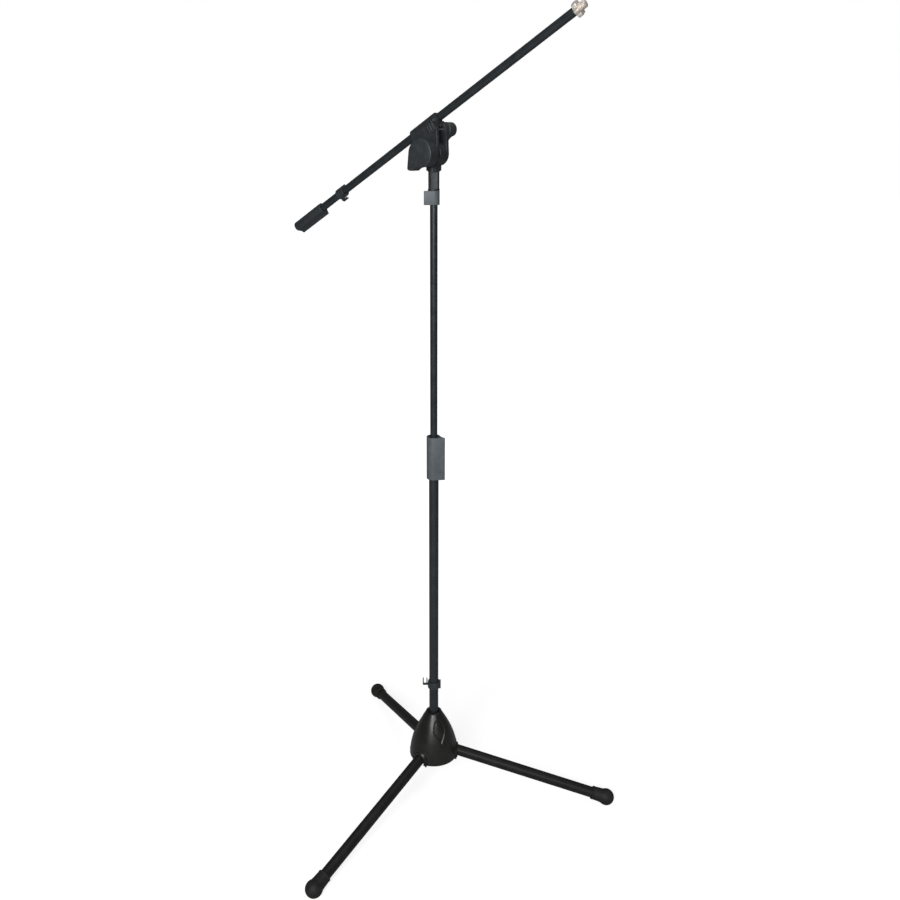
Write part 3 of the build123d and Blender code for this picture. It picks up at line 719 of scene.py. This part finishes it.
def clamp_half(side):
    """Half of the split clamp: friction ear, swept web, half barrel. The front half (-1) has ribs."""
    name, node, screw_foot = "clamp_back", "clamp_half_back", -30.0
    if side < 0:
        name, node, screw_foot = "clamp_front", "clamp_half_front", CLAMP_SCREW_BLIND
    low, high = sorted((side * (EAR_IN + 0.1), side * EAR_OUT))
    half = bar(name, EAR_R, low, high, "Y", sides=96)
    outline = [(-25.8, 3.0), (22.3, -13.4)] + arc(11.5, -42, 60, 12, (CLAMP_SCREW.x, CLAMP_SCREW.z))
    outline += [(BARREL_HIGH - 2.0, 52.0), (-23.0, 52.0), (-27.0, 46.0), (-26.0, 30.0)]
    web = slab("web", outline, low, high)
    carry(web, turned(90, "X"))
    carry(web, Matrix.Scale(-1, 4, Vector((0, 1, 0))))
    bpy.ops.object.mode_set(mode="EDIT")
    face_out()
    barrel = bar("barrel", BARREL_R, BARREL_LOW, BARREL_HIGH, "X", (0, 0, BOOM_OFFSET), 96)
    low, high = sorted((0, side * EAR_OUT))
    shelf = block("shelf", (BARREL_LOW + 5, low, 39.5), (BARREL_HIGH - 2, high, 53))
    ribs = []
    if side < 0:
        for i in range(1, 4):
            s = BARREL_HIGH - RIB_STEP * i
            ribs.append(block("rib", (s - 1.5, -22.3, 35.5), (s + 1.5, -9.0, 58.5)))
    combine(half, [web, barrel, shelf] + ribs, "UNION")
    low, high = sorted((side * CLAMP_SPLIT, side * 40))
    combine(half, [block("keep", (-80, low, -60), (80, high, 100))], "INTERSECT")
    combine(half, [bar("bore", LINER_R, -70, 80, "X", (0, 0, BOOM_OFFSET))], "DIFFERENCE")
    combine(half, [bar("room", EAR_ROOM_R, -EAR_IN, EAR_IN, "Y", sides=96)], "DIFFERENCE")
    cast(half)
    pivot = bar("pivot", BOLT_R, -30, 30, "Y")
    screw = bar("screw", CLAMP_SCREW_R, screw_foot, 30, "Y", CLAMP_SCREW)
    combine(half, [pivot, screw], "DIFFERENCE")
    place(half, HEAD)
    smooth(half, 50)
    finish(half, "head_clamp", "cast_coat", [node])


def hand_knob(name, outline, depth, bore, edge, matrix, body):
    """Comma knob with a broad chamfer round its face and its back on the washer."""
    knob = slab(name, outline, 0, depth)
    ease(knob, edge, 4)
    combine(knob, [bar("seat", bore, -1, depth - 5)], "DIFFERENCE")
    place(knob, matrix)
    smooth(knob)
    finish(knob, body, "dark_plastic", [body])


def knobs():
    """The large tilt knob faces the front and the small clamp knob the back, each with its wing down."""
    front = Matrix(((0, 1, 0, 0), (0, 0, -1, -KNOB_SEAT), (-1, 0, 0, PIVOT.z / MM), (0, 0, 0, 1)))
    front = front @ turned(TILT_KNOB_LEAN, "Z")
    hand_knob("tilt_hand_knob", comma(**TILT_KNOB), TILT_KNOB_DEPTH, 6.5, 2.5, front, "tilt_knob")
    screw = HEAD @ CLAMP_SCREW
    back = Matrix(((0, 1, 0, screw.x), (0, 0, 1, KNOB_SEAT), (-1, 0, 0, screw.z), (0, 0, 0, 1)))
    hand_knob("clamp_hand_knob", comma(**CLAMP_KNOB), CLAMP_KNOB_DEPTH, 5.0, 1.4, back, "clamp_knob")


# ---------------- boom ----------------
def boom_grip():
    """Comma-section sleeve over the low end of the boom, closed at its own end."""
    outline = [(x, -y) for x, y in reversed(comma(12.3, 17.0, 2.4))]
    grip = slab("boom_hand_grip", outline, GRIP_LOW, GRIP_HIGH)
    ease(grip, 1.3)
    combine(grip, [bar("bore", BOOM_R + 0.05, GRIP_CAP, GRIP_HIGH + 8)], "DIFFERENCE")
    place(grip, BOOM)
    smooth(grip)
    finish(grip, "boom", "dark_plastic", ["boom_grip"])


def star_nut():
    """Flat nut with rounded lobes, deep hollows between them, eased rims and a seating boss."""
    outline = []
    for i in range(216):
        angle = 2 * pi * i / 216
        wave = 0.5 + 0.5 * cos(STAR_LOBES * angle)
        radius = STAR_ROOT_R + STAR_LOBE * wave**0.7
        outline.append((radius * cos(angle), radius * sin(angle)))
    nut = slab("star_nut_tip", outline, BOOM_TIP + 1.5, STAR_NUT_END)
    ease(nut, 1.2)
    combine(nut, [bar("boss", 11.8, BOOM_TIP + 0.4, BOOM_TIP + 2.5)], "UNION")
    combine(nut, [bar("bore", THREAD_R + 0.05, BOOM_TIP - 1, STAR_NUT_END + 2)], "DIFFERENCE")
    place(nut, BOOM)
    smooth(nut)
    finish(nut, "star_nut", "nickel", ["star_nut"])


def studs():
    tip = thread("boom_tip_thread", BOOM_TIP + 0.2, BOOM_STUD_END, BOOM)
    finish(tip, "boom", "nickel", ["boom_end_stud"])
    mast = thread("mast_thread", MAST_STUD_LOW, MAST_STUD_HIGH, STANDING)
    finish(mast, "mast", "nickel", ["mast_stud"])


# ---------------- cable clips ----------------
def cable_clip(name, tube_r, height, matrix, body, node):
    """Snap ring with a hook open along the tube on one side and a split latch bar on the other."""
    half = height / 2
    outer = tube_r + CLIP_WALL
    band = [(tube_r, -half), (outer - 0.6, -half), (outer, -half + 0.6), (outer, half - 0.6)]
    band += [(outer - 0.6, half), (tube_r, half)]
    clip = lathe(name, band, 80, closed=True)
    latch_low = (outer - 2.4, -LATCH_HALF, -half - 2.4)
    latch = block("latch", latch_low, (outer + 2.5, LATCH_HALF, half + 2.4))
    ease(latch, 0.7, 2)
    foot, top = half - 7.5, half + 8.0
    near = -outer - 1.0
    far = near - HOOK_SPAN
    slot_in, slot_out = near - HOOK_WALL, far + HOOK_WALL
    hook = [(-outer + 1.2, foot - 3.0), (-outer + 1.2, foot)]
    hook += [(near, foot), (near, top - 1.0), (near - 0.8, top)]
    hook += [(slot_in + 0.6, top), (slot_in, top - 1.0), (slot_in, foot + 1.5), (slot_in - 1.5, foot)]
    hook += [(slot_out + 1.5, foot), (slot_out, foot + 1.5), (slot_out, top - 1.0), (slot_out - 0.6, top)]
    hook += [(far + 0.8, top), (far, top - 1.0), (far, foot - 1.5), (far + 1.5, foot - 3.0)]
    cradle = slab("cradle", [(x, -z) for x, z in hook], -HOOK_HALF, HOOK_HALF)
    ease(cradle, 0.4, 2)
    carry(cradle, turned(-90, "X"))
    combine(clip, [latch, cradle], "UNION")
    slit = block("slit", (tube_r - 2, -SLIT_HALF, -half - 3), (outer + 8, SLIT_HALF, half + 5))
    bore = bar("bore", tube_r + 0.02, -half - 5, half + 9, sides=80)
    combine(clip, [slit, bore], "DIFFERENCE")
    place(clip, matrix)
    smooth(clip)
    finish(clip, body, "dark_plastic", [node])


def cable_clips():
    column = moved(0, 0, COLUMN_CLIP_Z) @ turned(37, "Z")
    cable_clip("column_cable_hook", COLUMN_R, 18.0, column, "column", "column_cable_clip")
    boom = BOOM @ moved(0, 0, BOOM_CLIP_S) @ turned(155, "Z")
    cable_clip("boom_cable_hook", BOOM_R, 22.0, boom, "boom", "boom_cable_clip")


# ---------------- stage ----------------
def floor():
    """White floor: takes the contact shadow and turns to paper white away from the stand."""
    clear_selection()
    bpy.ops.mesh.primitive_plane_add(size=60, location=(0, 0, 0))
    plane = bpy.context.object
    plane.name = "studio_floor"
    material = bpy.data.materials.new("studio_floor")
    material.use_nodes = True
    tree = material.node_tree
    shader = tree.nodes["Principled BSDF"]
    shader.inputs["Base Color"].default_value = (FLOOR_WHITE, FLOOR_WHITE, FLOOR_WHITE, 1)
    shader.inputs["Roughness"].default_value = 0.9
    shader.inputs["Specular IOR Level"].default_value = 0.1
    shader.inputs["Emission Color"].default_value = (1, 1, 1, 1)
    path = tree.nodes.new("ShaderNodeLightPath")
    spot = tree.nodes.new("ShaderNodeTexCoord")
    reach = tree.nodes.new("ShaderNodeVectorMath")
    reach.operation = "LENGTH"
    fade = tree.nodes.new("ShaderNodeMapRange")
    fade.inputs["From Min"].default_value = FLOOR_LIFT_FROM
    fade.inputs["From Max"].default_value = FLOOR_LIFT_TO
    fade.inputs["To Min"].default_value = FLOOR_LIFT_NEAR
    fade.inputs["To Max"].default_value = FLOOR_LIFT_FAR
    lift = tree.nodes.new("ShaderNodeMath")
    lift.operation = "MULTIPLY"
    tree.links.new(spot.outputs["Object"], reach.inputs[0])
    tree.links.new(reach.outputs["Value"], fade.inputs["Value"])
    tree.links.new(fade.outputs["Result"], lift.inputs[1])
    tree.links.new(path.outputs["Is Camera Ray"], lift.inputs[0])
    tree.links.new(lift.outputs["Value"], shader.inputs["Emission Strength"])
    plane.data.materials.append(material)


def area_light(name, position, target, size, power):
    clear_selection()
    bpy.ops.object.light_add(type="AREA", location=position)
    lamp = bpy.context.object
    lamp.name = name
    lamp.data.shape = "RECTANGLE"
    lamp.data.size, lamp.data.size_y = size
    lamp.data.energy = power
    aim = Vector(target) - Vector(position)
    lamp.rotation_euler = aim.to_track_quat("-Z", "Y").to_euler()


def studio():
    """White to the camera, dim to everything else: three tall soft lights and a broad one above."""
    world = bpy.data.worlds.new("studio")
    bpy.context.scene.world = world
    world.use_nodes = True
    tree = world.node_tree
    background = tree.nodes["Background"]
    background.inputs["Color"].default_value = (1, 1, 1, 1)
    path = tree.nodes.new("ShaderNodeLightPath")
    level = tree.nodes.new("ShaderNodeMapRange")
    level.inputs["To Min"].default_value = AMBIENT
    level.inputs["To Max"].default_value = 1.0
    tree.links.new(path.outputs["Is Camera Ray"], level.inputs["Value"])
    tree.links.new(level.outputs["Result"], background.inputs["Strength"])
    area_light("key", (1.05, -3.25, 2.4), (0, 0, 1.0), (0.7, 2.0), 70)
    area_light("front", (1.55, -2.60, 2.2), (0, 0, 1.1), (0.4, 1.6), 34)
    area_light("right", (2.4, -1.8, 1.9), (0, 0, 1.5), (0.3, 0.8), 14)
    area_light("top", (0.3, 0.6, 4.2), (0, 0, 0.6), (3.0, 3.0), 22)
    bpy.context.scene.view_settings.view_transform = "Standard"


def camera():
    """Eye a little above the head's pivot, two metres out, looking down the stand."""
    distance, height, azimuth, pitch = 2.040, 1.674, 37.3, 16.98
    bpy.ops.object.camera_add()
    eye = bpy.context.object
    eye.name = "studio_camera"
    eye.location = (distance * sin(radians(azimuth)), -distance * cos(radians(azimuth)), height)
    eye.rotation_euler = (radians(90 - pitch), 0, radians(azimuth))
    eye.data.sensor_width = 36.0
    eye.data.lens = 36.04
    eye.data.shift_x = 0.018
    eye.data.shift_y = -0.0376
    bpy.context.scene.camera = eye


dress_nodes()
base_shell()
rim_lugs()
for leg_name, leg_azimuth in LEG_AZIMUTHS.items():
    leg_boot(leg_name, leg_azimuth)
clutch_grip()
lock_nut()
swivel_post()
clamp_half(-1)
clamp_half(1)
knobs()
boom_grip()
star_nut()
studs()
cable_clips()
floor()
studio()
camera()
